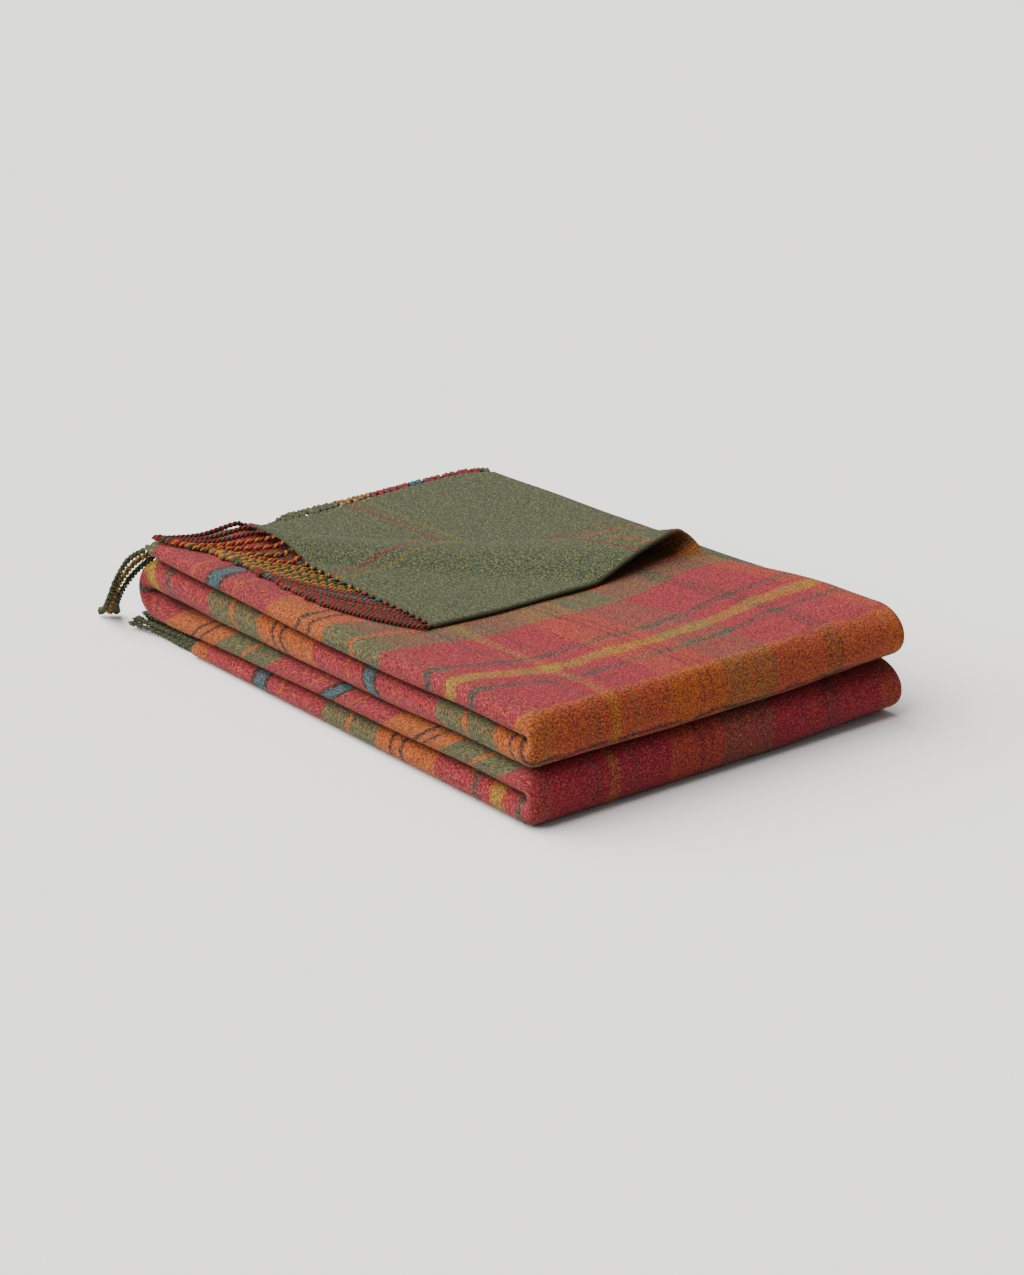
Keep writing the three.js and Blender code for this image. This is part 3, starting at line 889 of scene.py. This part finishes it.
class CordMesh:
    """Gathers twisted two-ply cords into one mesh."""

    def __init__(self):
        self.verts, self.faces, self.paint, self.cloth = [], [], [], []

    def ply(self, centre, radius, yarn, start, sides, number):
        base = len(self.verts)
        tangent = np.gradient(centre, axis=0)
        tangent /= np.linalg.norm(tangent, axis=1)[:, None]
        side = np.cross(tangent, [0.3, 0.2, 0.93])
        side /= np.linalg.norm(side, axis=1)[:, None]
        up = np.cross(side, tangent)
        for i, point in enumerate(centre):
            for k in range(sides):
                angle = 2.0 * math.pi * k / sides
                self.verts.append(point + radius[i] * (math.cos(angle) * side[i] + math.sin(angle) * up[i]))
                self.cloth.append((0.004 * k / sides + 0.013 * number, start + 0.0012 * i, 0.0))
        rings = len(centre)
        for i in range(rings - 1):
            for k in range(sides):
                a, b = base + i * sides + k, base + i * sides + (k + 1) % sides
                self.faces.append((a, b, b + sides, a + sides))
                self.paint.append(yarn)
        self.faces.append(tuple(base + k for k in reversed(range(sides))))
        self.faces.append(tuple(base + (rings - 1) * sides + k for k in range(sides)))
        self.paint.extend([yarn, yarn])

    def cord(self, knots, yarns, thick=3.6, twist=7.5, phase=0.0, steps=56, sides=6, number=0):
        path, length = smooth_path(knots, steps)
        tangent = np.gradient(path, axis=0)
        tangent /= np.linalg.norm(tangent, axis=1)[:, None]
        side = np.cross(tangent, [0.13, 0.21, 0.97])
        side /= np.linalg.norm(side, axis=1)[:, None]
        up = np.cross(side, tangent)
        run = np.linspace(0.0, length, steps)
        knot = np.exp(-(((run - length + 5.0) / 2.6) ** 2))
        apart = thick * 0.26 * (1.0 + 0.15 * knot)
        radius = thick * 0.27 * (1.0 + 0.75 * knot) * (1.0 - 0.35 * smooth(length - 2.5, length, run))
        for ply, yarn in enumerate(yarns):
            angle = 2.0 * math.pi * run / twist + math.pi * ply + phase
            centre = path + apart[:, None] * (np.cos(angle)[:, None] * side + np.sin(angle)[:, None] * up)
            self.ply(centre, radius, YARN_NAMES.index(yarn), 0.02 * ply, sides, number)

    def piece(self, name):
        return new_piece(name, self.verts, self.faces, YARNS.values(), self.paint, self.cloth)


# Yarns of the flap's cords from the corner to the crease
FLAP_YARNS = (
    [("red", "green")] * 5 + [("red", "moss"), ("red", "green"), ("red", "green"), ("teal", "moss")]
    + [("red", "green"), ("red", "moss"), ("gold", "moss"), ("green", "gold"), ("green", "moss")]
    + [("gold", "green"), ("gold", "moss"), ("gold", "green"), ("gold", "moss"), ("gold", "green")]
    + [("gold", "red"), ("gold", "green"), ("gold", "red"), ("red", "gold")]
    + [("red", "green"), ("red", "green"), ("red", "green")]
)


def flap_fringe():
    rng = np.random.default_rng(SEED)
    mesh = CordMesh()
    flat_x = np.linspace(CORNER_X - 3.0, 84.0, len(FLAP_YARNS))
    root, _, _ = turn_corner(flat_x, np.full(len(flat_x), CORNER_Y))
    inside, _, _ = turn_corner(flat_x, np.full(len(flat_x), CORNER_Y - 4.0))
    for i, yarns in enumerate(FLAP_YARNS):
        share = i / (len(FLAP_YARNS) - 1)
        out = root[i] - inside[i]
        out /= np.linalg.norm(out)
        tip_y = np.interp(share, [0.0, 0.5, 0.85, 1.0], [286.0, 392.0, 458.0, 476.0])
        tip_y += rng.uniform(-4.0, 4.0)
        tip_x = np.interp(share, [0.0, 0.7, 1.0], [25.0, 23.0, 3.0]) + rng.uniform(-2.5, 2.5)
        tip = np.array([tip_x, tip_y, 0.0])
        first = root[i] + out * 9.0 + [0.0, 0.0, 0.6]
        knots = [inside[i] + out * 1.0, root[i] + out * 2.0, first]
        for t in (0.4, 0.72, 1.0):
            spot = first + (tip - first) * t
            floor = layer_height(3, LAYER_A, spot[0], spot[1]) + CLOTH / 2.0
            high = first[2] + (floor + 2.0 - first[2]) * (t ** 0.7)
            sway = 6.0 * math.sin(math.pi * t) * (0.6 + 0.4 * rng.random())
            height = max(high, floor + 1.9 + 1.4 * rng.random())
            knots.append(np.array([spot[0] - sway * 0.6, spot[1] - sway * 0.8, height]))
        mesh.cord(knots, yarns, thick=4.3, phase=rng.uniform(0, 6.28), steps=64, number=i)
    return mesh.piece("flap_fringe")


CORNER_CORDS = [
    [[2, 487, 70], [-7, 497, 61], [-13, 506, 44], [-12, 520, 24], [-8, 535, 10], [-5, 547, 4.2]],
    [[7, 488, 66], [-1, 499, 56], [-8, 509, 40], [-8, 521, 22], [-3, 534, 9.5], [1, 543, 4.2]],
    [[10, 488, 62], [3, 499, 51], [-4, 509, 36], [-5, 520, 20], [1, 532, 9.0], [5, 539, 4.2]],
]


def corner_fringe():
    mesh = CordMesh()
    for i, knots in enumerate(CORNER_CORDS):
        yarns = [("moss", "green"), ("moss", "gold"), ("green", "moss")][i]
        mesh.cord(knots, yarns, thick=5.2, phase=1.3 * i, steps=64, number=i)
    return mesh.piece("corner_fringe")


def row_yarns(w, number):
    """Yarns of a cord by its place in the width, following the tartan's warp."""
    unit = (WARP_START - w / WARP_UNIT) % 1.0
    if 0.25 < unit < 0.49:
        return ("gold", "red") if number % 2 else ("gold", "green")
    if 0.49 <= unit < 0.726:
        return ("green", "moss") if number % 2 else ("green", "gold")
    if unit < 0.04 or unit > 0.96:
        return ("teal", "green")
    return ("red", "green") if number % 2 else ("red", "red")


def top_end_fringe():
    rng = np.random.default_rng(SEED + 1)
    mesh = CordMesh()
    rows = [(LAYER_D, 26.0, 338.0), (LAYER_C, 24.0, 336.0), (LAYER_B, 22.0, 338.0)]
    for depth, (g, x0, x1) in enumerate(rows):
        seen = depth == 0
        count = 46 if seen else 34
        for i in range(count):
            x = x0 + (x1 - x0) * i / (count - 1) + rng.uniform(-1.5, 1.5)
            flat = smooth(110.0, 150.0, x) * seen
            end = float(top_end(np.array([x]), np.array([g]))[0])
            z = float(layer_height(3, g, np.array([x]), np.array([end]))[0])
            out = 3.6 * (2 - depth)
            y0 = max(end, BACK_FOLD_Y)
            knots = [
                [x, end - 3.0, z], [x + 1.0, end + 3.0, z - 1.5 + 2.4 * flat],
                [x + 5.0, end + 8.0, z - 6.0 + 6.2 * flat],
                [x + 7.0 + rng.uniform(-1, 1), y0 + 6.0 + out + 5.0 * flat, z - 15.0 + 8.0 * flat],
                [x + 7.0 + rng.uniform(-1, 1), y0 + 12.0 + out, 42.0 + rng.uniform(-2, 2)],
                [x + 5.0 + rng.uniform(-2, 2), y0 + 12.0 + out, 20.0],
                [x + 3.0 + rng.uniform(-3, 3), y0 + 13.5 + out * 1.2, 7.0],
                [
                    x + 1.0 + rng.uniform(-4, 4), y0 + 21.0 + out * 1.6 + rng.uniform(-2, 2),
                    3.0 + 1.2 * (2 - depth),
                ],
            ]
            w = float(np.interp(x, [0, 345], [1035, 1380])) if seen else 700.0 - x
            thick = 5.2 if seen else 3.6
            yarns = row_yarns(w, i)
            if seen and x < 215.0:
                yarns = ("moss", "green") if x < 185.0 else ("gold", "green")
            mesh.cord(knots, yarns, thick=thick, phase=rng.uniform(0, 6.28), steps=40, sides=5, number=i)
    return mesh.piece("top_end_fringe")


def bottom_end_fringe():
    rng = np.random.default_rng(SEED + 2)
    mesh = CordMesh()
    for depth, g in enumerate((LAYER_A, LAYER_D, LAYER_C, LAYER_B)):
        count = 34
        for i in range(count):
            x = 7.0 + 330.0 * i / (count - 1) + rng.uniform(-1.5, 1.5)
            z = float(layer_height(0, g, np.array([x]), np.array([BOTTOM_END_Y]))[0])
            low = 2.9 + 2.4 * depth
            knots = [
                [x, BOTTOM_END_Y - 3.0, z], [x, BOTTOM_END_Y + 3.0, z],
                [x - 1.0 + rng.uniform(-1, 1), BOTTOM_END_Y + 24.0, (z + low) / 2.0],
                [x - 3.0 + rng.uniform(-2, 2), BOTTOM_END_Y + 50.0, low],
                [x - 5.0 + rng.uniform(-4, 4), BOTTOM_END_Y + 84.0 + rng.uniform(-5, 5), low],
            ]
            yarns = ("moss", "green") if x < 45.0 else row_yarns(x, i)
            mesh.cord(knots, yarns, phase=rng.uniform(0, 6.28), steps=36, sides=5, number=i)
    return mesh.piece("bottom_end_fringe")


fringe = {
    "flap": flap_fringe(),
    "corner": corner_fringe(),
    "top": top_end_fringe(),
    "bottom": bottom_end_fringe(),
}


# ---------------------------------------------------------------- what moves with what

# The cloth round each fold and at the crease keeps its place in the frame; the other pieces follow their
# sections
FOLD_TILT = 0.003


def bend(piece):
    """Bakes a piece's transform into its mesh, so that it stays where it lies in the frame."""
    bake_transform(piece)


def bend_fold(piece, joint, parent, child, level, tilt):
    bend(piece)


RIDES = {
    "top_section_cloth": "top_section",
    "upper_middle_cloth": "upper_middle_section",
    "lower_middle_cloth": "lower_middle_section",
    "bottom_section_cloth": "bottom_section",
    "corner_cloth": "turned_corner",
}
FOLDS = {
    "upper_front_roll": ("upper_front_fold", "upper_middle_section", "top_section", 3, FOLD_TILT),
    "back_roll": ("back_fold", "lower_middle_section", "upper_middle_section", 2, 0.0),
    "lower_front_roll": ("lower_front_fold", "bottom_section", "lower_middle_section", 1, FOLD_TILT),
}
for pieces in (cloth, nap):
    for name, body in RIDES.items():
        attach(pieces[name], body)
    for name, fold in FOLDS.items():
        bend_fold(pieces[name], *fold)
    bend(pieces["crease_cloth"])
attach(fringe["flap"], "turned_corner")
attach(fringe["corner"], "top_section")
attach(fringe["top"], "top_section")
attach(fringe["bottom"], "bottom_section")

for section in ("top_section", "upper_middle", "lower_middle", "bottom_section"):
    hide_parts(section + "_outer_fold", section + "_inner_fold")
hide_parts("corner_flap")
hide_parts(*[f"flap_fringe_cord_{i:02d}" for i in range(1, len(FLAP_YARNS) + 1)])
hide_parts(*[f"corner_fringe_cord_{i}" for i in range(1, len(CORNER_CORDS) + 1)])
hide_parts(*[f"top_end_fringe_row_{i}" for i in range(1, 4)])
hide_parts(*[f"bottom_end_fringe_row_{i}" for i in range(1, 5)])
